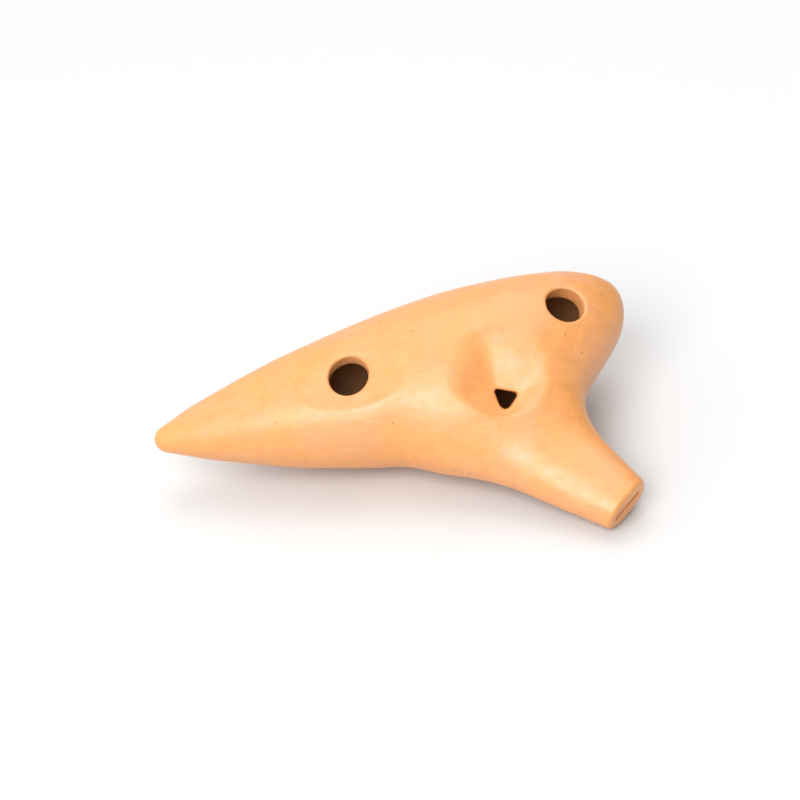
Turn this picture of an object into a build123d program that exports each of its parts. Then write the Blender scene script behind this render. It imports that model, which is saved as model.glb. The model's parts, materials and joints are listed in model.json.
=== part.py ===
from build123d import *
import math
import os

# Ten-hole transverse ocarina in terracotta, about 120 mm long. All sizes in millimetres.
#
# The pieces are laid out in the instrument's own axes: X runs along the body from the pointed
# tail to the rounded head, Z points out of the thumb side, and the half shells meet at Z = 0.
# The mouthpiece leaves the body towards -Y, leaning towards the head. At the end everything
# is turned into the pose in which the instrument lies on a table, thumb side up.

# --- body ---------------------------------------------------------------------------------
# Balls of these radii, strung along the body, touch its skin from inside.
SPINE = [
    (-56.65, 3.35),
    (-45.0, 7.7),
    (-25.0, 13.65),
    (-5.0, 18.0),
    (12.0, 20.1),
    (28.0, 19.1),
    (40.0, 15.9),
    (46.0, 12.9),
    (49.7, 10.3),
]
BOW = 5.4  # how far tail and head bend back from the middle of the body
BOW_TWIST = 3.2  # and how much more the head does so than the tail
BODY_SECTIONS = 16
THUMB_FLATNESS = 0.85  # height of the thumb side over half the width
FINGER_FLATNESS = 0.96  # depth of the finger side over half the width
WALL = 4.8
CHAMBER_TIP = 0.5  # radius below which the tail end of the chamber closes
SLIP = 0.4  # layer of slip in every luted joint

# --- mouthpiece ---------------------------------------------------------------------------
MOUTH_ROOT = (17.4, -11.4, 1.75)
MOUTH_ANGLE = -54.3  # from +X, in the plane of the body
MOUTH_RISE = 2.4
MOUTH_LENGTH = 47.3
# distance from the root, half width, half height, shift towards the head, shift to the thumb side
MOUTH_SECTIONS = [
    (-6.0, 21.0, 12.0, -3.0, -0.5),
    (0.0, 20.6, 13.4, -0.7, -1.5),
    (6.0, 20.0, 13.6, 1.3, -1.2),
    (12.0, 19.6, 12.1, 3.9, -0.8),
    (18.0, 17.0, 9.1, 3.5, -0.2),
    (24.0, 12.8, 7.1, 0.9, 0.0),
    (32.0, 10.25, 6.15, 0.0, 0.0),
    (40.0, 8.6, 5.55, 0.0, 0.0),
    (MOUTH_LENGTH, 7.0, 5.0, 0.0, 0.0),
]
MOUTH_JOINT = 22.5  # distance from the root at which the mouthpiece is luted to the body
LIP_ROUNDING = 1.0

# --- windway, window and labium -------------------------------------------------------------
WINDOW = [(22.5, -13.7), (27.8, -17.3), (23.1, -20.2)]  # labium edge first, then the lower corner
WINDWAY_EXIT_Z = 9.0  # height at which the air leaves the windway, on the last side of the window
WINDWAY_INLET = (9.0, 1.6)  # width and height at the lips
WINDWAY_OUTLET = (5.0, 1.2)
WINDOW_LEVEL = 10.5
WINDOW_ROUNDING = 0.7
THROAT_DIRECTION = (0.0, 0.4, -0.92)  # the window slants under the labium on its way down
THROAT_DEPTH = 16.0
SCOOP_CENTRE = (24.0, -15.0, 23.0)  # ball that leaves the hollow round the window
SCOOP_RADIUS = 13.2
VOICING_BLOCK = (24.0, -15.0, 4.0)  # centre and underside of the clay left thick inside
VOICING_BLOCK_RADIUS = 11.5
LABIUM_UNDERSIDE = 8.6  # the block is hollowed up to here behind the labium's edge
LABIUM_LENGTH = 9.0
LABIUM_FAR_WIDTH = 13.0

# --- tone holes: x, y, diameter, and for the thumb holes the direction they are drilled in ------
THUMB_HOLES = {
    "tail_thumb": (-10.1, -1.45, 9.6, (0.08, 0.01, 1.0)),
    "head_thumb": (45.3, 1.8, 9.6, (0.42, -0.02, 1.0)),
}
FINGER_HOLES = {
    "right_index": (-1.0, -1.0, 8.5),
    "right_middle": (-12.5, 0.0, 8.0),
    "right_ring": (-24.0, -0.5, 7.0),
    "right_little": (-35.0, -3.5, 5.0),
    "left_index": (14.0, 6.0, 7.5),
    "left_middle": (26.0, 6.0, 7.0),
    "left_ring": (37.0, 3.0, 6.5),
    "left_little": (44.5, -5.0, 5.5),
}
HOLE_REACH = 8.0  # how far a hole cutter goes to either side of the skin
THUMB_DISH = (-10.8, -4.0)  # middle of the flattened area around the tail thumb hole
THUMB_DISH_RADIUS = 100.0
THUMB_DISH_DEPTH = 1.1

# --- pose on the table ----------------------------------------------------------------------
REST_ROLL = 24.5  # about X, lowers the mouthpiece until its lips touch the table
REST_PITCH = -4.0  # about Y, lowers the tail to where the weight settles on the belly

BIG = 200.0


# --- body shape -------------------------------------------------------------------------------
def ball_radius(x):
    """Radius of the touching ball centred at x: a smooth curve through SPINE."""
    i = max(k for k in range(len(SPINE) - 1) if SPINE[k][0] <= x or k == 0)
    (xa, ra), (xb, rb) = SPINE[i], SPINE[i + 1]
    xp, rp = SPINE[max(i - 1, 0)]
    xn, rn = SPINE[min(i + 2, len(SPINE) - 1)]
    slope_a = (rb - rp) / (xb - xp)
    slope_b = (rn - ra) / (xn - xa)
    t = (x - xa) / (xb - xa)
    run = xb - xa
    start = (1 + 2 * t) * (1 - t) ** 2 * ra + t * (1 - t) ** 2 * run * slope_a
    end = t * t * (3 - 2 * t) * rb + t * t * (t - 1) * run * slope_b
    return start + end


def half_width(x, inset):
    """Half width of the body at x, with every ball made smaller by inset."""
    first, last = SPINE[0][0], SPINE[-1][0]
    widest = 0.0
    for step in range(241):
        centre = first + (last - first) * step / 240
        radius = ball_radius(centre) - inset
        if radius > abs(x - centre):
            widest = max(widest, math.sqrt(radius**2 - (x - centre) ** 2))
    return widest


def centre_y(x):
    """Sideways bow of the body's middle line."""
    u = x / 60
    return BOW * (u * u - 0.4) + BOW_TWIST * (u**3 - 0.6 * u)


def half_height(width, flatness, inset):
    """Keeps the wall as thick above and below as at the sides, except at the chamber's tips."""
    return max(width * flatness - inset * (1 - flatness), width / 2)


def body_section(x, inset):
    """Egg-shaped face across the body: flatter above the seam, deeper below it."""
    width = half_width(x, inset)
    above = half_height(width, THUMB_FLATNESS, inset)
    below = half_height(width, FINGER_FLATNESS, inset)
    across = Plane(origin=(x, centre_y(x), 0), x_dir=(0, 1, 0), z_dir=(1, 0, 0))
    upper = EllipticalCenterArc((0, 0), width, above, start_angle=0, arc_size=180)
    lower = EllipticalCenterArc((0, 0), width, below, start_angle=180, arc_size=180)
    return across * make_face([upper, lower])


def tail_end(inset):
    """X of the tail tip, with every ball made smaller by inset."""
    centres = [SPINE[0][0] + step for step in range(30)]
    left = [x for x in centres if ball_radius(x) > inset + CHAMBER_TIP]
    return min(x - ball_radius(x) + inset for x in left)


def body_blank(inset):
    """The body's outer shape, or its chamber when inset is the wall thickness."""
    tail = tail_end(inset)
    head = SPINE[-1][0] + SPINE[-1][1] - inset
    turns = [math.pi * k / BODY_SECTIONS for k in range(1, BODY_SECTIONS)]
    places = [tail + (head - tail) * (1 - math.cos(turn)) / 2 for turn in turns]
    sections = [body_section(x, inset) for x in places]
    tail_tip = Vertex(tail, centre_y(tail), 0)
    head_tip = Vertex(head, centre_y(head), 0)
    return loft([tail_tip, *sections, head_tip])


# --- mouthpiece shape ---------------------------------------------------------------------------
def mouth_plane(distance):
    """Plane across the mouthpiece: x towards the head, y towards the thumb side, z to the lips."""
    angle, rise = math.radians(MOUTH_ANGLE), math.radians(MOUTH_RISE)
    out = Vector(math.cos(angle) * math.cos(rise), math.sin(angle) * math.cos(rise), math.sin(rise))
    sideways = Vector(-math.sin(angle), math.cos(angle), 0)
    return Plane(origin=Vector(*MOUTH_ROOT) + out * distance, x_dir=sideways, z_dir=out)


def mouthpiece_blank():
    """Flattened cone that flares into the side of the body."""
    sections = []
    for distance, width, height, sideways, up in MOUTH_SECTIONS:
        sections.append(mouth_plane(distance) * Pos(sideways, up) * Ellipse(width, height))
    blank = loft(sections)
    lips = blank.faces().sort_by(Axis(MOUTH_ROOT, mouth_plane(0).z_dir))[-1]
    return fillet(lips.edges(), LIP_ROUNDING)


def windway_ends():
    """Middle of the windway at the window and at the lips."""
    (xa, ya), (xb, yb) = WINDOW[1], WINDOW[2]
    inner = Vector((xa + xb) / 2, (ya + yb) / 2, WINDWAY_EXIT_Z)
    return inner, mouth_plane(MOUTH_LENGTH).origin


def windway_plane(point):
    """Plane across the windway: x along its width, y away from its floor, z towards the lips."""
    inner, outer = windway_ends()
    run = outer - inner
    return Plane(origin=point, x_dir=Vector(-run.Y, run.X, 0), z_dir=run)


def windway_cutter():
    """Flat tapering channel from the lips to the window."""
    inner, outer = windway_ends()
    beyond_lips = outer + (outer - inner).normalized() * 2
    outlet = windway_plane(inner) * Rectangle(*WINDWAY_OUTLET)
    inlet = windway_plane(beyond_lips) * Rectangle(*WINDWAY_INLET)
    return loft([outlet, inlet])


def throat_cutter():
    """Rounded triangular window, carried down at a slant into the chamber."""
    outline = make_face(Polyline(*WINDOW, close=True))
    outline = fillet(outline.vertices(), WINDOW_ROUNDING)
    direction = Vector(*THROAT_DIRECTION).normalized()
    down = extrude(Pos(0, 0, WINDOW_LEVEL) * outline, amount=THROAT_DEPTH, dir=direction)
    up = extrude(Pos(0, 0, WINDOW_LEVEL) * outline, amount=THROAT_DEPTH / 4, dir=-direction)
    return down + up


def behind_labium():
    """Everything on the far side of the window from its straight edge."""
    left, right = Vector(*WINDOW[0]), Vector(*WINDOW[1])
    along = (right - left).normalized()
    return beyond(Plane(origin=left, x_dir=along, z_dir=Vector(-along.Y, along.X)))


def voicing_block():
    """Clay left thick round the window, hollowed behind the labium's edge."""
    x, y, z = VOICING_BLOCK
    block = Pos(x, y, z + BIG / 8) * Cylinder(VOICING_BLOCK_RADIUS, BIG / 4)
    under = behind_labium() & Pos(x, y, LABIUM_UNDERSIDE - BIG / 2) * Box(BIG, BIG, BIG)
    return block - under


def labium_pocket():
    """Fan-shaped prism behind the straight edge of the window."""
    left, right = Vector(*WINDOW[0]), Vector(*WINDOW[1])
    along = (right - left).normalized()
    away = Vector(-along.Y, along.X)
    middle = (left + right) / 2 + away * LABIUM_LENGTH
    far_left = middle - along * LABIUM_FAR_WIDTH / 2
    far_right = middle + along * LABIUM_FAR_WIDTH / 2
    fan = make_face(Polyline(left, right, far_right, far_left, close=True))
    return extrude(fan, amount=BIG / 4)


# --- tone holes ---------------------------------------------------------------------------------
def skin_point(blank, x, y, side):
    """Point of the skin above or below (x, y), and the direction straight out of it there."""
    hits = blank.find_intersection_points(Axis((x, y, 0), (0, 0, side)))
    point, normal = max(hits, key=lambda hit: hit[0].Z * side)
    return point, normal if normal.Z * side > 0 else -normal


def hole_cutter(blank, x, y, diameter, side, direction=None):
    """Drill through the wall, square to the skin unless a direction is given."""
    point, normal = skin_point(blank, x, y, side)
    axis = normal if direction is None else Vector(*direction)
    return Plane(origin=point, z_dir=axis) * Cylinder(diameter / 2, 2 * HOLE_REACH)


def thumb_dish(blank):
    """Shallow flattening pressed around the tail thumb hole."""
    point, normal = skin_point(blank, *THUMB_DISH, 1)
    centre = point + normal * (THUMB_DISH_RADIUS - THUMB_DISH_DEPTH)
    return Pos(*centre) * Sphere(THUMB_DISH_RADIUS)


# --- cutting tools for the joints -----------------------------------------------------------------
def beyond(plane, gap=0.0):
    """Everything on the positive side of a plane, from a distance of gap onwards."""
    return plane * Pos(0, 0, gap + BIG / 2) * Box(BIG, BIG, BIG)


def slip_layer(walls, plane):
    """The layer of slip that fills a joint across the walls, centred on a plane."""
    return extrude(section(walls, section_by=plane), amount=SLIP / 2, dir=plane.z_dir, both=True)


# --- the pieces -----------------------------------------------------------------------------------
def make_pieces():
    body = body_blank(0)
    chamber = body_blank(WALL)
    mouthpiece = mouthpiece_blank()
    skin = body + mouthpiece
    joint = mouth_plane(MOUTH_JOINT)
    windway = windway_cutter()

    clay = skin - Pos(*SCOOP_CENTRE) * Sphere(SCOOP_RADIUS) - thumb_dish(body)
    hollow = chamber - voicing_block()
    walls = clay - hollow - windway - throat_cutter()
    for x, y, diameter, direction in THUMB_HOLES.values():
        walls -= hole_cutter(body, x, y, diameter, 1, direction)
    for x, y, diameter in FINGER_HOLES.values():
        walls -= hole_cutter(body, x, y, diameter, -1)

    shells = walls - beyond(joint, -SLIP / 2)
    thumb_half = shells & beyond(Plane.XY, SLIP / 2)
    mouth_half = walls & beyond(joint, SLIP / 2)
    across = windway_plane(windway_ends()[0])
    roof_side = beyond(Plane(origin=across.origin, z_dir=across.y_dir))
    pocket = labium_pocket()
    return {
        "thumb_side_shell": thumb_half - pocket,
        "finger_side_shell": shells & beyond(-Plane.XY, SLIP / 2),
        "body_seam_slip": slip_layer(walls, Plane.XY) - beyond(joint, -SLIP / 2),
        "mouthpiece_roof": mouth_half & roof_side,
        "mouthpiece_floor": mouth_half - roof_side,
        "labium": thumb_half & pocket,
        "mouthpiece_joint_slip": slip_layer(walls, joint),
    }


def on_the_table(pieces):
    """Turns the pieces into the resting pose, with the origin under the middle of their box."""
    turn = Rotation(0, REST_PITCH, 0) * Rotation(REST_ROLL, 0, 0)
    turned = {name: turn * piece for name, piece in pieces.items()}
    box = Compound(children=[Part(piece.wrapped) for piece in turned.values()]).bounding_box()
    shift = Pos(-box.center().X, -box.center().Y, -box.min.Z)
    return {name: shift * piece for name, piece in turned.items()}, shift * turn


if __name__ == "__main__":
    os.makedirs("parts", exist_ok=True)
    placed, placement = on_the_table(make_pieces())
    for name, piece in placed.items():
        export_step(piece, f"parts/{name}.step")
        print(name, len(piece.solids()), round(piece.volume), piece.bounding_box())
    print("placement", placement)
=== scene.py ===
"""Looks of the terracotta ocarina, modelled in clay-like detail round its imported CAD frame.

The shape is a signed distance field in millimetres, in the instrument's own axes: X along the
body from tail to head, Z out of the thumb side, half shells meeting at Z = 0, mouthpiece towards
-Y. The field is meshed, cut into the real pieces and turned into the pose on the table.
"""

import json
import math

import bpy
import numpy as np
from mathutils import Matrix, Vector

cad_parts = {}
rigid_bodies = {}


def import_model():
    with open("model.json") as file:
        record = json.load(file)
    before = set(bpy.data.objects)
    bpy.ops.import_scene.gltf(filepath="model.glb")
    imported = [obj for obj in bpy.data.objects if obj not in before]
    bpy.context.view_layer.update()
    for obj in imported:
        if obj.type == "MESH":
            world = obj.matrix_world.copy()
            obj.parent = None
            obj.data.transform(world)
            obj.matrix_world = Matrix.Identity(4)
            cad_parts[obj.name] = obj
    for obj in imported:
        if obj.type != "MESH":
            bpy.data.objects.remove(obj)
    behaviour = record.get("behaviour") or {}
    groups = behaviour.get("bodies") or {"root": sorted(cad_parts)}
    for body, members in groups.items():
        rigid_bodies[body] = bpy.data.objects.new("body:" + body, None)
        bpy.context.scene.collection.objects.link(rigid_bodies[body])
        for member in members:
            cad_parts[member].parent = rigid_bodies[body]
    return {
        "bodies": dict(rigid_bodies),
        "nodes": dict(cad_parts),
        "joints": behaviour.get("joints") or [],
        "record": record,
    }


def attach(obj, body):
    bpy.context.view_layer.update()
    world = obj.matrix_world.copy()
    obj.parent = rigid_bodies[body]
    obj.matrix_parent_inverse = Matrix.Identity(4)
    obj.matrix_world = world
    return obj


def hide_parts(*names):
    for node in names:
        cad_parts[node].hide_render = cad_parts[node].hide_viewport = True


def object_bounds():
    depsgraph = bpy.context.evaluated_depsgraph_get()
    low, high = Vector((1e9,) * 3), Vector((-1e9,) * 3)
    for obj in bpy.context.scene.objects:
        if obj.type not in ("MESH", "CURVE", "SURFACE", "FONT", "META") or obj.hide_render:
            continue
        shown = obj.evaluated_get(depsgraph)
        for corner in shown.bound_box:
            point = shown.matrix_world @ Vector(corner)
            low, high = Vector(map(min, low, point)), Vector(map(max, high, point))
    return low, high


MM = 0.001
TINY = 1e-6

# --- body: balls of these radii strung along X touch its skin from inside ---
SPINE_X = [-56.64, -45.0, -25.0, -5.0, 12.0, 28.0, 40.0, 46.0, 49.7]
SPINE_RADIUS = [3.36, 7.68, 13.67, 17.98, 20.10, 19.10, 15.91, 12.9, 10.29]
BOW = 5.4
BOW_TWIST = 3.2
BOW_SPAN = 60
BOW_BALANCE = (0.4, 0.6)  # keeps the bowed middle line close to the X axis
THUMB_FLATNESS = 0.845
FINGER_FLATNESS = 0.958
THUMB_SQUARENESS = 2.25
FINGER_SQUARENESS = 2.05
WALL = 4.8
BALL_COUNT = 420
# Table of the distances to the balls: spacing and half length in millimetres, the rest in steps.
TABLE_STEP = 0.25
TABLE_HALF_LENGTH = 75
TABLE_WIDTH = 280
TABLE_MARGIN = 2
TABLE_CLEARANCE = (1.01, 3.01)  # left free at either end for the smooth look-up
SWELLINGS = (0.07, 0.05)  # heights of the two slow waves in the hand-smoothed skin
SKIN_SEARCH = 30.0
SKIN_HALVINGS = 40
SKIN_REACH = 0.2

# --- mouthpiece ---
MOUTH_ROOT = (17.44, -11.37, 1.74)
MOUTH_ANGLE = -54.3
MOUTH_RISE = 2.4
MOUTH_LENGTH = 47.3
MOUTH_HALF_WIDTH = (16.97, 7.0)
MOUTH_HALF_HEIGHT = (8.42, 5.02)
MOUTH_SQUARENESS = 2.3
MOUTH_ROOT_ROUNDING = 8.0
LIP_ROUNDING = 0.9
MOUTH_BLEND = 16.4
MOUTH_JOINT = 22.5
SLIP = 0.4

# --- voicing ---
WINDOW = [(22.3, -13.9), (28.1, -17.0), (22.8, -22.0)]  # labium edge first, then the lower corner
WINDOW_LEVEL = 11.1
WINDOW_ROUNDING = 1.3
WINDOW_LOWER_ROUNDING = 3.0
SCOOP_CENTRE = (24.0, -15.0, 23.0)
SCOOP_RADIUS = 13.2
# Facets carved in the scoop's bottom: a point of each, and its slopes along x and y.
SCOOP_FACETS = [
    (24.5, -15.5, 10.9, 0.22, 0.45),
    (22.3, -13.9, 11.2, -0.47, 0.50),
    (22.3, -13.9, 11.1, -0.48, -0.10),
]
SCOOP_BLEND = 1.1
SCOOP_RIM_SOFTNESS = (2.4, 2.0, 50.0)  # middle, swing, and direction of the softest stretch
THROAT_DIRECTION = (0.0, 0.4, -0.92)
THROAT_TOP = 15.0
THROAT_BOTTOM = -3.0
VOICING_BLOCK = (24.0, -15.0, 4.0)
VOICING_BLOCK_RADIUS = 11.5
VOICING_BLOCK_ROUNDING = 1.0
VOICING_BLOCK_BLEND = 1.5
LABIUM_UNDERSIDE = 8.6
LABIUM_UNDERSIDE_ROUNDING = 0.5
WINDOW_EDGE_ROUNDING = 0.45
WINDWAY_EXIT_Z = 9.0
WINDWAY_INLET = (9.0, 1.6)
WINDWAY_OUTLET = (5.0, 1.2)
WINDWAY_ROUNDING = 0.3
WINDWAY_OVERLAP = 1.0
LABIUM_LENGTH = 9.0
LABIUM_FAR_WIDTH = 13.0

# --- tone holes: x, y, diameter, side, and the direction they are drilled in if not square ---
HOLES = [
    (-10.1, -1.45, 9.6, 1, (0.08, 0.01, 1.0)),
    (45.3, 1.8, 9.6, 1, (0.42, -0.02, 1.0)),
    (-1.0, -1.0, 8.5, -1, None),
    (-12.5, 0.0, 8.0, -1, None),
    (-24.0, -0.5, 7.0, -1, None),
    (-35.0, -3.5, 5.0, -1, None),
    (14.0, 6.0, 7.5, -1, None),
    (26.0, 6.0, 7.0, -1, None),
    (37.0, 3.0, 6.5, -1, None),
    (44.5, -5.0, 5.5, -1, None),
]
HOLE_REACH = 9.0
HOLE_ROUNDING = 0.9
INNER_EDGE_ROUNDING = 0.3
DISH = (-9.6, -4.0)
DISH_RADIUS = 100.0
DISH_DEPTH = 1.2
DISH_ROUNDING = 0.3

# --- pose on the table ---
REST_ROLL = 24.5
REST_PITCH = -4.0
MOUNT_BELOW_SLOT = 3.0

# --- mesh ---
GRID_STEP = 0.36
BLOCK = 4
BLOCK_MARGIN = 1.25  # share of a block's size within which the surface may still pass through it
BATCHES = 24
FAR = 9.0
BIG = 200.0
OBLIQUE = (0.3, 0.7, 0.2)  # a direction that no cutting plane is square to
PINCH_FILL = -0.02
SETTLE_ROUNDS = 2
SETTLE_REACH = 0.05
SETTLE_LIMIT = 0.15
LEAST_SLOPE = 0.2
NORMAL_REACH = 0.2
CUT_AGREEMENT = 0.2  # a face whose normal agrees less than this with the field was made by a cut
CUT_DEPTH = 0.25  # and so was one whose middle is deeper in the clay than this
INSIDE_MARGIN = 0.8  # the skin of the chamber ends this far into the wall
AXES = np.eye(3, dtype=int)
LOW = np.array([-61.5, -56.0, -21.0])
HIGH = np.array([61.5, 32.0, 19.0])

# --- clay, as linear colours; textures are in waves per millimetre ---
OCHRE = (0.715, 0.300, 0.086, 1)
PINK = (0.700, 0.308, 0.116, 1)
CHAMBER_PAINTED_SHADE = 0.5  # painted shade: the clay inside the chamber is drawn darker than the skin, for the shade in it
SHEEN = 0.65
SLIP_TINT = 0.97
PINHOLE_SCALE = 0.33
PINHOLE_RARITY = 0.86
PINHOLE_EDGE = (0.04, 0.11)
# Each noise: scale, detail, roughness, distortion.
PATCHES = (0.07, 2, 0.5, 0.6)
BLOTCHES = (0.28, 3, 0.5, 0.0)
GRAIN = (2.4, 3, 0.7, 0.0)
STREAKS = (1.0, 2, 0.5, 0.0)
WAVES = (0.6, 2, 0.5, 0.0)
STREAK_STRETCH = (0.12, 0.7, 0.7)
# What a noise does: its low and high values, then the result at each.
PATCH_HUE = (0.36, 0.64, 0, 1)
BLOTCH_SHADE = (0.3, 0.7, 0.965, 1.03)
GRAIN_SHADE = (0.25, 0.75, 0.93, 1.06)
STREAK_SHADE = (0.3, 0.7, 0.97, 1.03)
# Painted shade: the pinholes are drawn darker, for the shade in them.
PINHOLE_PAINTED_SHADE = 0.6
BLOTCH_ROUGHNESS = (0.3, 0.7, 0.31, 0.43)
STREAK_ROUGHNESS = (0.3, 0.7, -0.04, 0.05)
INSIDE_ROUGHNESS = 0.4
# Relief, in millimetres.
WAVE_HEIGHT = 0.07
GRAIN_HEIGHT = 0.022
STREAK_HEIGHT = 0.03
PINHOLE_DEPTH = 0.12

# --- camera ---
CAMERA_AZIMUTH = -5.62
CAMERA_ELEVATION = 39.69
CAMERA_ROLL = -9.04
CAMERA_DISTANCE = 0.70
CAMERA_LENS = 128.4
CAMERA_SENSOR = 36
CAMERA_CLIP = (0.01, 20)
CAMERA_AIM = (0.0008, 0.0134, -0.0027)

# --- floor and light: directions are azimuth and elevation; sizes are diameters in metres ---
FLOOR_SIZE = 6
FLOOR_GREY = 0.63
FLOOR_ROUGHNESS = 0.9
ROOM_BRIGHT = 1.15
ROOM_DIM = 0.20
ROOM_TURN = (0.06, 0.85)  # the room dims over this stretch of its generated x
LIGHT_DISTANCE = 1.2
KEY_DIRECTION = (-32, 48)
KEY_SIZE = 0.8
KEY_POWER = 10.0
TOP_DIRECTION = (150, 68)
TOP_SIZE = 1.0
TOP_POWER = 4.5


# --- curves and blends ---
def cubic_through(xs, ys, x):
    """Smooth curve through the points (xs, ys), with straight-chord slopes."""
    xs, ys = np.asarray(xs, float), np.asarray(ys, float)
    slopes = np.empty_like(ys)
    slopes[1:-1] = (ys[2:] - ys[:-2]) / (xs[2:] - xs[:-2])
    slopes[0] = (ys[1] - ys[0]) / (xs[1] - xs[0])
    slopes[-1] = (ys[-1] - ys[-2]) / (xs[-1] - xs[-2])
    i = np.clip(np.searchsorted(xs, x) - 1, 0, len(xs) - 2)
    run = xs[i + 1] - xs[i]
    t = (x - xs[i]) / run
    start = (1 + 2 * t) * (1 - t) ** 2 * ys[i] + t * (1 - t) ** 2 * run * slopes[i]
    end = t * t * (3 - 2 * t) * ys[i + 1] + t * t * (t - 1) * run * slopes[i + 1]
    return start + end


def smooth_min(a, b, k):
    """The smaller of a and b, blended over a width of k."""
    h = np.clip(0.5 + 0.5 * (b - a) / k, 0, 1)
    return b * (1 - h) + a * h - k * h * (1 - h)


def smooth_cut(a, b, k):
    """What is left of a once b is taken away."""
    return -smooth_min(-a, b, k)


def super_norm(a, b, n):
    """Length of (a, b) measured by a superellipse of exponent n."""
    a, b = np.abs(a) + TINY, np.abs(b) + TINY
    big, small = np.maximum(a, b), np.minimum(a, b)
    return big * (1 + (small / big) ** n) ** (1 / n)


def rounded_max(a, b, r):
    """Intersection whose edge has radius r."""
    a, b = a + r, b + r
    outside = np.hypot(np.maximum(a, 0), np.maximum(b, 0))
    return np.minimum(np.maximum(a, b), 0) + outside - r


def tapered(ends, t):
    """Straight run from the first end to the second as t goes from 0 to 1."""
    return ends[0] + (ends[1] - ends[0]) * t


def distance_from(point, x, y, z):
    """Straight distance from a point."""
    return np.sqrt((x - point[0]) ** 2 + (y - point[1]) ** 2 + (z - point[2]) ** 2)


def coordinates(origin, axes, x, y, z):
    """Distances from origin along each of the axes."""
    gap = (x - origin[0], y - origin[1], z - origin[2])
    return [sum(g * a for g, a in zip(gap, axis)) for axis in axes]


# --- body ---
def ball_table():
    """Distance to the string of balls, for points (x, distance from the middle line)."""
    centres = np.linspace(SPINE_X[0], SPINE_X[-1], BALL_COUNT)
    radii = cubic_through(SPINE_X, SPINE_RADIUS, centres)
    x = np.arange(-TABLE_HALF_LENGTH, TABLE_HALF_LENGTH, TABLE_STEP)
    rho = np.abs(np.arange(-TABLE_MARGIN, TABLE_WIDTH)) * TABLE_STEP
    table = np.empty((len(x), len(rho)))
    for row, along in enumerate(x):
        gap = np.hypot(along - centres[:, None], rho[None, :]) - radii[:, None]
        table[row] = gap.min(axis=0)
    return table


BALLS = ball_table()


def catmull(p, t):
    """Smooth curve through four even steps p, at t between the second and the third."""
    a, b, c, d = p
    return b + 0.5 * t * (c - a + t * (2 * a - 5 * b + 4 * c - d + t * (3 * (b - c) + d - a)))


def ball_distance(x, rho):
    """Smooth look-up in the table of balls."""
    first, last = TABLE_CLEARANCE
    u = np.clip((x + TABLE_HALF_LENGTH) / TABLE_STEP, first, BALLS.shape[0] - last)
    v = np.clip(rho / TABLE_STEP + TABLE_MARGIN, first, BALLS.shape[1] - last)
    i, j = u.astype(int), v.astype(int)
    rows = []
    for di in (-1, 0, 1, 2):
        across = [BALLS[i + di, j + dj] for dj in (-1, 0, 1, 2)]
        rows.append(catmull(across, v - j))
    return catmull(rows, u - i)


def centre_y(x):
    """Sideways bow of the body's middle line."""
    u = x / BOW_SPAN
    return BOW * (u * u - BOW_BALANCE[0]) + BOW_TWIST * (u**3 - BOW_BALANCE[1] * u)


def body_field(x, y, z):
    """Distance outside the body without its mouthpiece and hollows."""
    thumb = z > 0
    flatness = np.where(thumb, THUMB_FLATNESS, FINGER_FLATNESS)
    squareness = np.where(thumb, THUMB_SQUARENESS, FINGER_SQUARENESS)
    return ball_distance(x, super_norm(y - centre_y(x), z / flatness, squareness))


# --- mouthpiece ---
def mouth_axes():
    """Directions along the mouthpiece, towards the head across it, and out of its top."""
    angle, rise = math.radians(MOUTH_ANGLE), math.radians(MOUTH_RISE)
    level = np.array([math.cos(angle), math.sin(angle), 0.0])
    out = level * math.cos(rise) + np.array([0.0, 0.0, math.sin(rise)])
    side = np.array([-math.sin(angle), math.cos(angle), 0.0])
    return out, side, np.cross(out, side)


def mouth_field(x, y, z):
    """Distance outside the tapered mouthpiece, whose end at the lips is flat."""
    along, across, above = coordinates(MOUTH_ROOT, mouth_axes(), x, y, z)
    t = np.clip(along / MOUTH_LENGTH, 0, 1)
    width, height = tapered(MOUTH_HALF_WIDTH, t), tapered(MOUTH_HALF_HEIGHT, t)
    rho = super_norm(across / width, above / height, MOUTH_SQUARENESS)
    inside = (rho - 1) * np.minimum(width, height)
    outside = np.hypot(across, above) * (1 - 1 / rho)
    tube = np.where(rho < 1, inside, outside)
    tube = rounded_max(tube, along - MOUTH_LENGTH, LIP_ROUNDING)
    return rounded_max(tube, -along, MOUTH_ROOT_ROUNDING)


# --- hollows ---
def scoop_field(x, y, z):
    """Negative in the hollow round the window: inside a ball and above all of the facets."""
    field = distance_from(SCOOP_CENTRE, x, y, z) - SCOOP_RADIUS
    for px, py, pz, slope_x, slope_y in SCOOP_FACETS:
        plane = pz + slope_x * (x - px) + slope_y * (y - py)
        above = (plane - z) / math.sqrt(1 + slope_x**2 + slope_y**2)
        field = -smooth_min(-field, -above, SCOOP_BLEND)
    return field


def scoop_softness(x, y):
    """Width of the blend at the rim of the scoop, by direction from the window."""
    middle, swing, softest = SCOOP_RIM_SOFTNESS
    towards = np.arctan2(y - SCOOP_CENTRE[1], x - SCOOP_CENTRE[0])
    return middle + swing * np.cos(towards - math.radians(softest))


def side_distance(x, y, start, end):
    """Distance beyond the line from start to end of a polygon whose corners go clockwise."""
    along_x, along_y = end[0] - start[0], end[1] - start[1]
    return ((y - start[1]) * along_x - (x - start[0]) * along_y) / math.hypot(along_x, along_y)


def throat_field(x, y, z):
    """Negative in the slanted window opening down into the chamber."""
    shear = (WINDOW_LEVEL - z) / THROAT_DIRECTION[2]
    px = x + shear * THROAT_DIRECTION[0]
    py = y + shear * THROAT_DIRECTION[1]
    left, right, lower = WINDOW
    lower_sides = side_distance(px, py, right, lower), side_distance(px, py, lower, left)
    prism = rounded_max(*lower_sides, WINDOW_LOWER_ROUNDING)
    prism = rounded_max(prism, side_distance(px, py, left, right), WINDOW_ROUNDING)
    return np.maximum(prism, np.maximum(z - THROAT_TOP, THROAT_BOTTOM - z))


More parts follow.
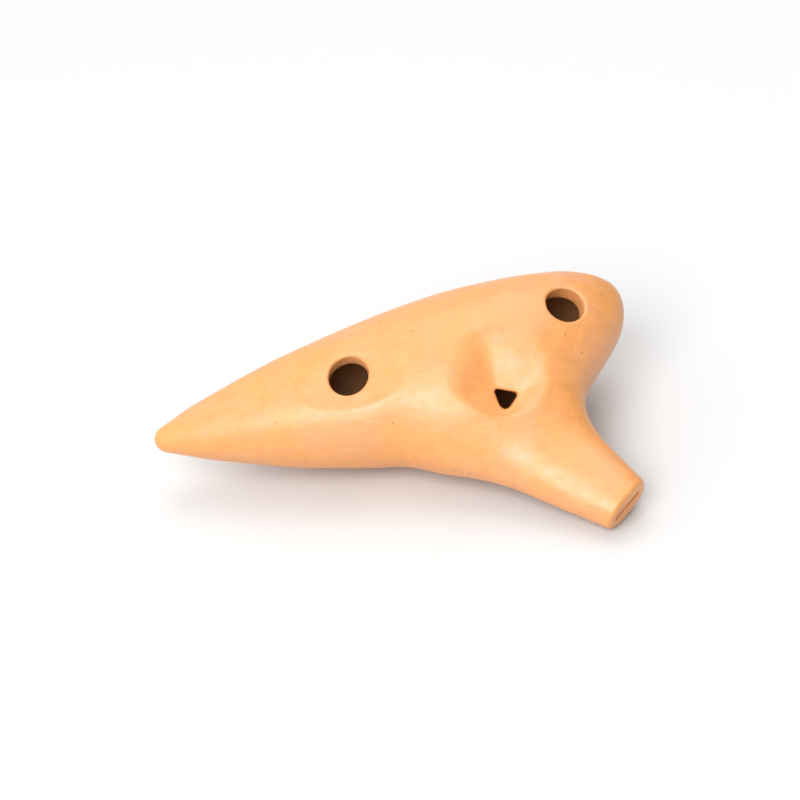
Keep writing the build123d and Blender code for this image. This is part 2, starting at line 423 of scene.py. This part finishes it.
def voicing_block_field(x, y, z):
    """Clay left thick round the window, hollowed behind the labium's edge."""
    middle_x, middle_y, underside = VOICING_BLOCK
    radial = np.hypot(x - middle_x, y - middle_y) - VOICING_BLOCK_RADIUS
    block = rounded_max(radial, underside - z, VOICING_BLOCK_ROUNDING)
    behind = side_distance(x, y, WINDOW[0], WINDOW[1])
    under_labium = np.maximum(-behind, z - LABIUM_UNDERSIDE)
    return smooth_cut(block, under_labium, LABIUM_UNDERSIDE_ROUNDING)


def windway_ends():
    """Middle of the windway's slot at the window, and at the lips."""
    (xa, ya), (xb, yb) = WINDOW[1], WINDOW[2]
    inner = np.array([(xa + xb) / 2, (ya + yb) / 2, WINDWAY_EXIT_Z])
    outer = np.array(MOUTH_ROOT) + mouth_axes()[0] * MOUTH_LENGTH
    return inner, outer


def windway_axes():
    """Directions along the windway to the lips, across it, and away from its floor."""
    inner, outer = windway_ends()
    run = (outer - inner) / np.linalg.norm(outer - inner)
    side = np.array([-run[1], run[0], 0.0])
    side /= np.linalg.norm(side)
    return run, side, np.cross(run, side)


def windway_field(x, y, z):
    """Negative in the flat channel that narrows from the lips to the window."""
    inner, outer = windway_ends()
    along, across, above = coordinates(inner, windway_axes(), x, y, z)
    t = np.clip(along / np.linalg.norm(outer - inner), 0, 1)
    width, height = [tapered(ends, t) / 2 for ends in zip(WINDWAY_OUTLET, WINDWAY_INLET)]
    tube = rounded_max(np.abs(across) - width, np.abs(above) - height, WINDWAY_ROUNDING)
    return np.maximum(tube, -WINDWAY_OVERLAP - along)


def skin_point(x, y, side):
    """Point of the body's skin above or below (x, y), and the direction straight out of it."""
    low, high = 0.0, SKIN_SEARCH
    for _ in range(SKIN_HALVINGS):
        middle = (low + high) / 2
        if body_field(np.array([x]), np.array([y]), np.array([side * middle]))[0] < 0:
            low = middle
        else:
            high = middle
    point = np.array([x, y, side * low])
    ahead = [body_field(*(point + shift)[:, None])[0] for shift in AXES * SKIN_REACH]
    behind = [body_field(*(point - shift)[:, None])[0] for shift in AXES * SKIN_REACH]
    slope = np.array(ahead) - np.array(behind)
    return point, slope / np.linalg.norm(slope)


def hole_frames():
    """Centre, axis and radius of every tone hole."""
    frames = []
    for x, y, diameter, side, axis in HOLES:
        point, normal = skin_point(x, y, side)
        if axis:
            normal = np.array(axis) / np.linalg.norm(axis)
        frames.append((point, normal, diameter / 2))
    return frames


HOLE_FRAMES = hole_frames()
DISH_FRAME = skin_point(*DISH, 1)


def hole_field(x, y, z, frame):
    """Negative in the short cylinder that drills a tone hole."""
    point, normal, radius = frame
    gap = (x - point[0], y - point[1], z - point[2])
    along = sum(g * n for g, n in zip(gap, normal))
    squared = sum(g * g for g in gap) - along * along
    return np.maximum(np.sqrt(np.maximum(squared, 0)) - radius, np.abs(along) - HOLE_REACH)


def dish_field(x, y, z):
    """Sphere that flattens the skin round the tail thumb hole."""
    point, normal = DISH_FRAME
    centre = point + normal * (DISH_RADIUS - DISH_DEPTH)
    return distance_from(centre, x, y, z) - DISH_RADIUS


def hand_made(x, y, z):
    """Slow swellings of a surface smoothed by hand, at frequencies that never line up."""
    first = np.sin(x * 0.23 + 1.3 * np.sin(y * 0.17 + 0.4)) * np.sin(y * 0.29 + z * 0.21 + 1.1)
    second = np.sin(x * 0.41 + y * 0.33 + 2.0) * np.sin(z * 0.37 - y * 0.25 + 0.7)
    return SWELLINGS[0] * first + SWELLINGS[1] * second


def clay_field(points):
    """Negative inside the clay, in millimetres."""
    x, y, z = points[:, 0], points[:, 1], points[:, 2]
    body = body_field(x, y, z)
    skin = smooth_min(body, mouth_field(x, y, z), MOUTH_BLEND) + hand_made(x, y, z)
    clay = smooth_cut(skin, scoop_field(x, y, z), scoop_softness(x, y))
    clay = smooth_cut(clay, dish_field(x, y, z), DISH_ROUNDING)
    for frame in HOLE_FRAMES:
        clay = smooth_cut(clay, hole_field(x, y, z, frame), HOLE_ROUNDING)
    hollow = smooth_cut(body + WALL, voicing_block_field(x, y, z), VOICING_BLOCK_BLEND)
    clay = smooth_cut(clay, hollow, INNER_EDGE_ROUNDING)
    clay = smooth_cut(clay, windway_field(x, y, z), WINDWAY_ROUNDING)
    return smooth_cut(clay, throat_field(x, y, z), WINDOW_EDGE_ROUNDING)


# --- meshing ---
def lattice(*counts):
    """Every triple of whole numbers below the three counts."""
    return np.stack(np.meshgrid(*[np.arange(c) for c in counts], indexing="ij"), -1).reshape(-1, 3)


def grid_blocks():
    """Index and field value of every block of samples, and the number of blocks each way."""
    size = BLOCK * GRID_STEP
    count = np.ceil((HIGH - LOW) / size).astype(int)
    index = lattice(*count)
    value = clay_field(LOW + (index + 0.5) * size)
    return index, value, count


def sampled_grid():
    """The field on a regular grid, worked out only in blocks that the surface may pass through."""
    index, value, count = grid_blocks()
    blocks = np.repeat(np.sign(value) * FAR, BLOCK**3).reshape(-1, BLOCK, BLOCK, BLOCK)
    near = np.abs(value) < BLOCK * GRID_STEP * BLOCK_MARGIN
    offsets = lattice(BLOCK, BLOCK, BLOCK)
    for part in np.array_split(np.flatnonzero(near), BATCHES):
        nodes = (index[part][:, None, :] * BLOCK + offsets[None]).reshape(-1, 3)
        blocks[part] = clay_field(LOW + nodes * GRID_STEP).reshape(-1, BLOCK, BLOCK, BLOCK)
    grid = blocks.reshape(*count, BLOCK, BLOCK, BLOCK).transpose(0, 3, 1, 4, 2, 5)
    return grid.reshape(*(count * BLOCK))


def face_corners(inside, first, second):
    """The four corners of every grid face that spans two axes, going round it."""
    ends = slice(None, -1), slice(1, None)
    views = []
    for i, j in ((0, 0), (1, 0), (1, 1), (0, 1)):
        index = [slice(None)] * 3
        index[first], index[second] = ends[i], ends[j]
        views.append(inside[tuple(index)])
    return views


def without_pinches(grid):
    """Fills the few samples where clay would meet only along an edge, so that the mesh is closed."""
    grid = grid.copy()
    pinched = True
    while pinched:
        inside = grid < 0
        fill = np.zeros_like(inside)
        for first, second in ((0, 1), (0, 2), (1, 2)):
            a, b, c, d = face_corners(inside, first, second)
            fill_a, fill_b, _, _ = face_corners(fill, first, second)
            fill_b |= a & c & ~b & ~d
            fill_a |= b & d & ~a & ~c
        pinched = fill.any()
        grid[fill] = PINCH_FILL
    return grid


def surface_nets(grid):
    """One vertex per grid cell that the surface crosses, and a quad round each crossed grid edge."""
    inside = grid < 0
    corners = lattice(2, 2, 2)
    cells_each_way = np.array(inside.shape) - 1
    count = np.zeros(cells_each_way, np.int8)
    for corner in corners:
        count += inside[tuple(slice(c, c + n) for c, n in zip(corner, cells_each_way))]
    cells = np.argwhere((count > 0) & (count < 8))
    number = np.full(count.shape, -1)
    number[tuple(cells.T)] = np.arange(len(cells))
    total, crossings = np.zeros((len(cells), 3)), np.zeros(len(cells))
    for a in corners:
        for axis in range(3):
            if a[axis] == 0:
                b = a + AXES[axis]
                va, vb = grid[tuple((cells + a).T)], grid[tuple((cells + b).T)]
                crossed = (va < 0) != (vb < 0)
                t = np.where(crossed, va / np.where(crossed, va - vb, 1), 0)
                point = a + t[:, None] * (b - a)
                total += np.where(crossed[:, None], point, 0)
                crossings += crossed
    vertices = LOW + (cells + total / crossings[:, None]) * GRID_STEP
    faces = []
    for axis in range(3):
        step, u, v = AXES[axis], AXES[(axis + 1) % 3], AXES[(axis + 2) % 3]
        end = [slice(1, None) if step[k] else slice(None) for k in range(3)]
        start = [slice(None, -1) if step[k] else slice(None) for k in range(3)]
        a, b = inside[tuple(start)], inside[tuple(end)]
        for rising in (True, False):
            edges = np.argwhere(a & ~b if rising else ~a & b)
            around = [edges - u - v, edges - v, edges, edges - u]
            quad = np.stack([number[tuple(c.T)] for c in around], 1)
            faces.append(quad if rising else quad[:, ::-1])
    return vertices, np.concatenate(faces)


def gradient(points, reach):
    """Outward direction of the field, by differences over reach."""
    columns = []
    for axis in range(3):
        step = AXES[axis] * reach
        columns.append(clay_field(points + step) - clay_field(points - step))
    return np.stack(columns, 1) / (2 * reach)


def settled(vertices):
    """Vertices moved onto the surface itself."""
    for _ in range(SETTLE_ROUNDS):
        slope = gradient(vertices, SETTLE_REACH)
        length = np.maximum((slope**2).sum(1), LEAST_SLOPE)
        move = clay_field(vertices) / length
        vertices = vertices - np.clip(move, -SETTLE_LIMIT, SETTLE_LIMIT)[:, None] * slope
    return vertices


# --- pieces ---
def new_object(name, vertices, faces):
    mesh = bpy.data.meshes.new(name)
    mesh.from_pydata(vertices.tolist(), [], faces.tolist())
    made = bpy.data.objects.new(name, mesh)
    bpy.context.scene.collection.objects.link(made)
    return made


def slab(name, origin, normal, low, high):
    """Box that fills the space between two distances from a plane."""
    normal = Vector(normal).normalized()
    across = normal.cross(Vector(OBLIQUE)).normalized()
    up = normal.cross(across)
    turn = Matrix((across, up, normal)).transposed()
    corners = [(a, b, c) for a in (-BIG, BIG) for b in (-BIG, BIG) for c in (low, high)]
    vertices = np.array([Vector(origin) + turn @ Vector(c) for c in corners])
    faces = [(0, 1, 3, 2), (4, 6, 7, 5), (0, 4, 5, 1), (2, 3, 7, 6), (0, 2, 6, 4), (1, 5, 7, 3)]
    return outward(new_object(name, vertices, np.array(faces)))


def outward(box):
    """Flips a convex box whose faces look inwards."""
    mesh = box.data
    middle = sum((v.co for v in mesh.vertices), Vector()) / len(mesh.vertices)
    face = mesh.polygons[0]
    if (face.center - middle).dot(face.normal) < 0:
        mesh.flip_normals()
    return box


def labium_cutter():
    """Fan-shaped prism behind the straight edge of the window."""
    left, right = np.array(WINDOW[0]), np.array(WINDOW[1])
    along = (right - left) / np.linalg.norm(right - left)
    away = np.array([-along[1], along[0]])
    middle = (left + right) / 2 + away * LABIUM_LENGTH
    half = along * LABIUM_FAR_WIDTH / 2
    base = [left, right, middle + half, middle - half]
    vertices = np.array([(*p, z) for z in (0, BIG) for p in base])
    faces = [(3, 2, 1, 0), (4, 5, 6, 7), (0, 1, 5, 4), (1, 2, 6, 5), (2, 3, 7, 6), (3, 0, 4, 7)]
    return outward(new_object("labium_cutter", vertices, np.array(faces)))


def trimmed(source, name, *steps):
    """Copy of source after Boolean steps, each ("INTERSECT" or "DIFFERENCE", cutter).

    A step that fails leaves the mesh as it was and raises nothing, so the result is checked here.
    """
    made = source.copy()
    made.name = name
    bpy.context.scene.collection.objects.link(made)
    for operation, cutter in steps:
        change = made.modifiers.new("trim", "BOOLEAN")
        change.operation = operation
        change.solver = "MANIFOLD"
        change.object = cutter
    graph = bpy.context.evaluated_depsgraph_get()
    mesh = bpy.data.meshes.new_from_object(made.evaluated_get(graph))
    mesh.name = name
    if mesh.validate() or len(mesh.polygons) in (0, len(source.data.polygons)):
        raise RuntimeError(f"{name} was not cut cleanly from {source.name}")
    made.modifiers.clear()
    made.data = mesh
    return made


def cut_into_pieces(whole):
    """The seven clay pieces by node, cut from the whole and from each other's leavings."""
    out, _, _ = mouth_axes()
    joint = np.array(MOUTH_ROOT) + out * MOUTH_JOINT
    half = SLIP / 2
    body_side = slab("body_side", joint, out, -BIG, -half)
    mouth_side = slab("mouth_side", joint, out, half, BIG)
    joint_layer = slab("joint_layer", joint, out, -half, half)
    seam = (0, 0, 0), (0, 0, 1)
    thumb_side = slab("thumb_side", *seam, half, BIG)
    finger_side = slab("finger_side", *seam, -BIG, -half)
    seam_layer = slab("seam_layer", *seam, -half, half)
    windway = windway_ends()[0], windway_axes()[2]
    roof_side = slab("roof_side", *windway, 0, BIG)
    floor_side = slab("floor_side", *windway, -BIG, 0)
    fan = labium_cutter()
    body = trimmed(whole, "body", ("INTERSECT", body_side))
    mouth = trimmed(whole, "mouth", ("INTERSECT", mouth_side))
    thumb = trimmed(body, "thumb", ("INTERSECT", thumb_side))
    pieces = {
        "thumb_side_shell": trimmed(thumb, "thumb_side_clay", ("DIFFERENCE", fan)),
        "labium": trimmed(thumb, "labium_clay", ("INTERSECT", fan)),
        "finger_side_shell": trimmed(body, "finger_side_clay", ("INTERSECT", finger_side)),
        "body_seam_slip": trimmed(body, "body_seam_clay", ("INTERSECT", seam_layer)),
        "mouthpiece_roof": trimmed(mouth, "mouthpiece_roof_clay", ("INTERSECT", roof_side)),
        "mouthpiece_floor": trimmed(mouth, "mouthpiece_floor_clay", ("INTERSECT", floor_side)),
        "mouthpiece_joint_slip": trimmed(whole, "mouthpiece_joint_clay", ("INTERSECT", joint_layer)),
    }
    helpers = [whole, body, mouth, thumb, body_side, mouth_side, joint_layer, thumb_side]
    helpers += [finger_side, seam_layer, roof_side, floor_side, fan]
    for helper in helpers:
        bpy.data.objects.remove(helper)
    return pieces


def read(elements, name, width=1, kind=float):
    """A value from each of the mesh's elements, or a row of width values from each."""
    values = np.empty(len(elements) * width, kind)
    elements.foreach_get(name, values)
    return values.reshape(-1, width) if width > 1 else values


def corner_normals(mesh, points):
    """Normals of the field at the skin's corners, and of the face itself on faces made by a cut."""
    smooth = gradient(points, NORMAL_REACH)
    smooth /= np.linalg.norm(smooth, axis=1)[:, None]
    loop_vertex = read(mesh.loops, "vertex_index", kind=np.int32)
    sizes = read(mesh.polygons, "loop_total", kind=np.int32)
    loop_face = np.repeat(np.arange(len(mesh.polygons)), sizes)
    face_normal = read(mesh.polygons, "normal", 3)[loop_face]
    agreement = (smooth[loop_vertex] * face_normal).sum(1)
    depth = np.abs(clay_field(read(mesh.polygons, "center", 3)))[loop_face]
    flat = (agreement < CUT_AGREEMENT) | (depth > CUT_DEPTH)
    return np.where(flat[:, None], face_normal, smooth[loop_vertex])


def finish_surface(piece, turn, offset):
    """Shades the piece, marks the chamber for its painted shade and roughness, and puts it on the
    table.
    """
    mesh = piece.data
    points = read(mesh.vertices, "co", 3)
    normals = corner_normals(mesh, points)
    beyond_chamber = WALL + body_field(*points.T)
    # This mask paints shade into the chamber's clay in the material, and makes that clay rougher.
    inside = mesh.attributes.new("inside", "FLOAT", "POINT")
    inside.data.foreach_set("value", np.clip(INSIDE_MARGIN - beyond_chamber, 0, 1))
    placed = (points @ turn.T + offset) * MM
    mesh.vertices.foreach_set("co", placed.ravel())
    mesh.polygons.foreach_set("use_smooth", np.ones(len(mesh.polygons), bool))
    mesh.update()
    mesh.normals_split_custom_set(normals @ turn.T)


def placement(record):
    """Turn and shift, in millimetres, that put the instrument where its CAD frame is."""
    roll = Matrix.Rotation(math.radians(REST_ROLL), 3, "X")
    pitch = Matrix.Rotation(math.radians(REST_PITCH), 3, "Y")
    turn = np.array(pitch @ roll)
    mount = next(m for m in record["mounts"] if m["name"] == "mouthpiece_end")
    out, _, up = mouth_axes()
    local = np.array(MOUTH_ROOT) + out * MOUTH_LENGTH - up * MOUNT_BELOW_SLOT
    return turn, np.array(mount["pos_m"]) / MM - turn @ local


# --- materials ---
def add_node(tree, kind, inputs, **settings):
    """New node; inputs holds values or the sockets to link from."""
    made = tree.nodes.new(kind)
    for name, value in settings.items():
        setattr(made, name, value)
    for socket, value in inputs.items():
        if isinstance(value, bpy.types.NodeSocket):
            tree.links.new(value, made.inputs[socket])
        else:
            made.inputs[socket].default_value = value
    return made


def arithmetic(tree, operation, total, *values):
    """Joins the values with one operation, two at a time from the left."""
    for value in values:
        inputs = {0: total, 1: value}
        total = add_node(tree, "ShaderNodeMath", inputs, operation=operation).outputs[0]
    return total


def vector(tree, operation, place, socket, value):
    """The place, scaled by a number or stretched by a vector."""
    inputs = {0: place, socket: value}
    return add_node(tree, "ShaderNodeVectorMath", inputs, operation=operation).outputs[0]


def noise(tree, place, scale, detail, roughness, distortion):
    inputs = {
        "Vector": place,
        "Scale": scale,
        "Detail": detail,
        "Roughness": roughness,
        "Distortion": distortion,
    }
    return add_node(tree, "ShaderNodeTexNoise", inputs).outputs["Fac"]


def spread(tree, value, low, high, to_low, to_high):
    """Smooth step of value from low..high to another range."""
    inputs = {
        "Value": value,
        "From Min": low,
        "From Max": high,
        "To Min": to_low,
        "To Max": to_high,
    }
    return add_node(tree, "ShaderNodeMapRange", inputs, interpolation_type="SMOOTHSTEP").outputs[0]


def mixed(tree, share, first, second, blend="MIX"):
    """Colour between first and second."""
    inputs = {0: share, 6: first, 7: second}
    return add_node(tree, "ShaderNodeMix", inputs, data_type="RGBA", blend_type=blend).outputs[2]


def pinholes(tree, place):
    """1 in the middle of a few tiny pits scattered over the clay, 0 elsewhere."""
    cells = add_node(tree, "ShaderNodeTexVoronoi", {"Vector": place, "Scale": PINHOLE_SCALE})
    chosen = add_node(tree, "ShaderNodeSeparateColor", {"Color": cells.outputs["Color"]}).outputs[0]
    depth = spread(tree, cells.outputs["Distance"], *PINHOLE_EDGE, 1, 0)
    rare = arithmetic(tree, "GREATER_THAN", chosen, PINHOLE_RARITY)
    return arithmetic(tree, "MULTIPLY", depth, rare)


def terracotta(name, tint):
    """Low-fired clay, mottled and grainy, burnished to a faint sheen in streaks, with painted shade
    in the chamber and the pinholes.
    """
    material = bpy.data.materials.new(name)
    material.use_nodes = True
    tree = material.node_tree
    shader = tree.nodes["Principled BSDF"]
    metres = tree.nodes.new("ShaderNodeTexCoord").outputs["Object"]
    place = vector(tree, "SCALE", metres, "Scale", 1 / MM)
    stroke = vector(tree, "MULTIPLY", place, 1, STREAK_STRETCH)
    patches = noise(tree, place, *PATCHES)
    blotches = noise(tree, place, *BLOTCHES)
    grain = noise(tree, place, *GRAIN)
    streaks = noise(tree, stroke, *STREAKS)
    waves = noise(tree, place, *WAVES)
    pits = pinholes(tree, place)
    inside = add_node(tree, "ShaderNodeAttribute", {}, attribute_name="inside").outputs["Fac"]

    colour = mixed(tree, spread(tree, patches, *PATCH_HUE), OCHRE, PINK)
    shades = [
        spread(tree, blotches, *BLOTCH_SHADE),
        spread(tree, grain, *GRAIN_SHADE),
        spread(tree, streaks, *STREAK_SHADE),
        # Painted shade: the pinholes are drawn darker.
        spread(tree, pits, 0, 1, tint, tint * PINHOLE_PAINTED_SHADE),
        # Painted shade: the clay inside the chamber is drawn darker.
        spread(tree, inside, 0, 1, 1, CHAMBER_PAINTED_SHADE),
    ]
    shade = arithmetic(tree, "MULTIPLY", *shades)
    grey = add_node(tree, "ShaderNodeCombineColor", {0: shade, 1: shade, 2: shade}).outputs[0]
    tree.links.new(mixed(tree, 1.0, colour, grey, "MULTIPLY"), shader.inputs["Base Color"])

    matt = [
        spread(tree, blotches, *BLOTCH_ROUGHNESS),
        spread(tree, streaks, *STREAK_ROUGHNESS),
        spread(tree, inside, 0, 1, 0, INSIDE_ROUGHNESS),
    ]
    tree.links.new(arithmetic(tree, "ADD", *matt), shader.inputs["Roughness"])
    shader.inputs["Specular IOR Level"].default_value = SHEEN

    raised = [
        arithmetic(tree, "MULTIPLY", waves, WAVE_HEIGHT),
        arithmetic(tree, "MULTIPLY", grain, GRAIN_HEIGHT),
        arithmetic(tree, "MULTIPLY", streaks, STREAK_HEIGHT),
    ]
    sunk = arithmetic(tree, "MULTIPLY", pits, PINHOLE_DEPTH)
    height = arithmetic(tree, "SUBTRACT", arithmetic(tree, "ADD", *raised), sunk)
    bump = add_node(tree, "ShaderNodeBump", {"Height": height, "Distance": MM, "Strength": 1.0})
    tree.links.new(bump.outputs[0], shader.inputs["Normal"])
    return material


# --- stage ---
def add_floor():
    bpy.ops.mesh.primitive_plane_add(size=FLOOR_SIZE)
    floor = bpy.context.object
    floor.name = "floor"
    material = bpy.data.materials.new("pale_floor")
    material.use_nodes = True
    shader = material.node_tree.nodes["Principled BSDF"]
    shader.inputs["Base Color"].default_value = (FLOOR_GREY, FLOOR_GREY, FLOOR_GREY, 1)
    shader.inputs["Roughness"].default_value = FLOOR_ROUGHNESS
    floor.data.materials.append(material)


def aim(thing, location, target):
    """Puts a lamp at location, shining at target."""
    thing.location = location
    thing.rotation_mode = "QUATERNION"
    thing.rotation_quaternion = (Vector(target) - Vector(location)).to_track_quat("-Z", "Y")


def direction(azimuth, elevation):
    """Away from the object, with the azimuth measured from the front."""
    a, e = math.radians(azimuth), math.radians(elevation)
    return Vector((math.sin(a) * math.cos(e), -math.cos(a) * math.cos(e), math.sin(e)))


def add_light(name, towards, size, power, target):
    """Soft round lamp shining at target."""
    light = bpy.data.lights.new(name, "AREA")
    light.shape = "DISK"
    light.size = size
    light.energy = power
    lamp = bpy.data.objects.new(name, light)
    bpy.context.scene.collection.objects.link(lamp)
    aim(lamp, Vector(target) + direction(*towards) * LIGHT_DISTANCE, target)


def add_world():
    """Soft room light, bright on the tail's side and dim on the head's side."""
    world = bpy.data.worlds.new("studio")
    world.use_nodes = True
    tree = world.node_tree
    towards = tree.nodes.new("ShaderNodeTexCoord").outputs["Generated"]
    x = add_node(tree, "ShaderNodeSeparateXYZ", {0: towards}).outputs[0]
    strength = spread(tree, x, *ROOM_TURN, ROOM_BRIGHT, ROOM_DIM)
    tree.links.new(strength, tree.nodes["Background"].inputs["Strength"])
    tree.nodes["Background"].inputs["Color"].default_value = (1, 1, 1, 1)
    bpy.context.scene.world = world


def add_camera(middle):
    """Camera at the viewing angle, tilted by its roll."""
    camera = bpy.data.cameras.new("camera")
    camera.lens = CAMERA_LENS
    camera.sensor_width = CAMERA_SENSOR
    camera.clip_start, camera.clip_end = CAMERA_CLIP
    made = bpy.data.objects.new("camera", camera)
    bpy.context.scene.collection.objects.link(made)
    target = middle + Vector(CAMERA_AIM)
    back = direction(CAMERA_AZIMUTH, CAMERA_ELEVATION)
    made.location = target + back * CAMERA_DISTANCE
    made.rotation_mode = "QUATERNION"
    level = (-back).to_track_quat("-Z", "Y").to_matrix()
    roll = Matrix.Rotation(math.radians(CAMERA_ROLL), 3, "Z")
    made.rotation_quaternion = (level @ roll).to_quaternion()
    bpy.context.scene.camera = made


# --- the scene ---
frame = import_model()
cad_low, cad_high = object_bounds()
middle = (cad_low + cad_high) / 2

net_vertices, net_faces = surface_nets(without_pinches(sampled_grid()))
net_vertices = settled(net_vertices)
print("vertices", len(net_vertices), "faces", len(net_faces))
pieces = cut_into_pieces(new_object("whole", net_vertices, net_faces))
turn, offset = placement(frame["record"])
slots = {part["node"]: part["material_slot"] for part in frame["record"]["subparts"]}
clay = {"slip": terracotta("fired_slip", SLIP_TINT)}
clay["terracotta_body"] = clay["terracotta_mouthpiece"] = terracotta("terracotta", 1.0)
for node, piece in pieces.items():
    finish_surface(piece, turn, offset)
    piece.data.materials.clear()
    piece.data.materials.append(clay[slots[node]])
    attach(piece, "root")
    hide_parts(node)
    print(node, len(piece.data.polygons))

add_floor()
add_world()
add_light("key", KEY_DIRECTION, KEY_SIZE, KEY_POWER, middle)
add_light("top", TOP_DIRECTION, TOP_SIZE, TOP_POWER, middle)
add_camera(middle)
bpy.context.scene.view_settings.view_transform = "Standard"
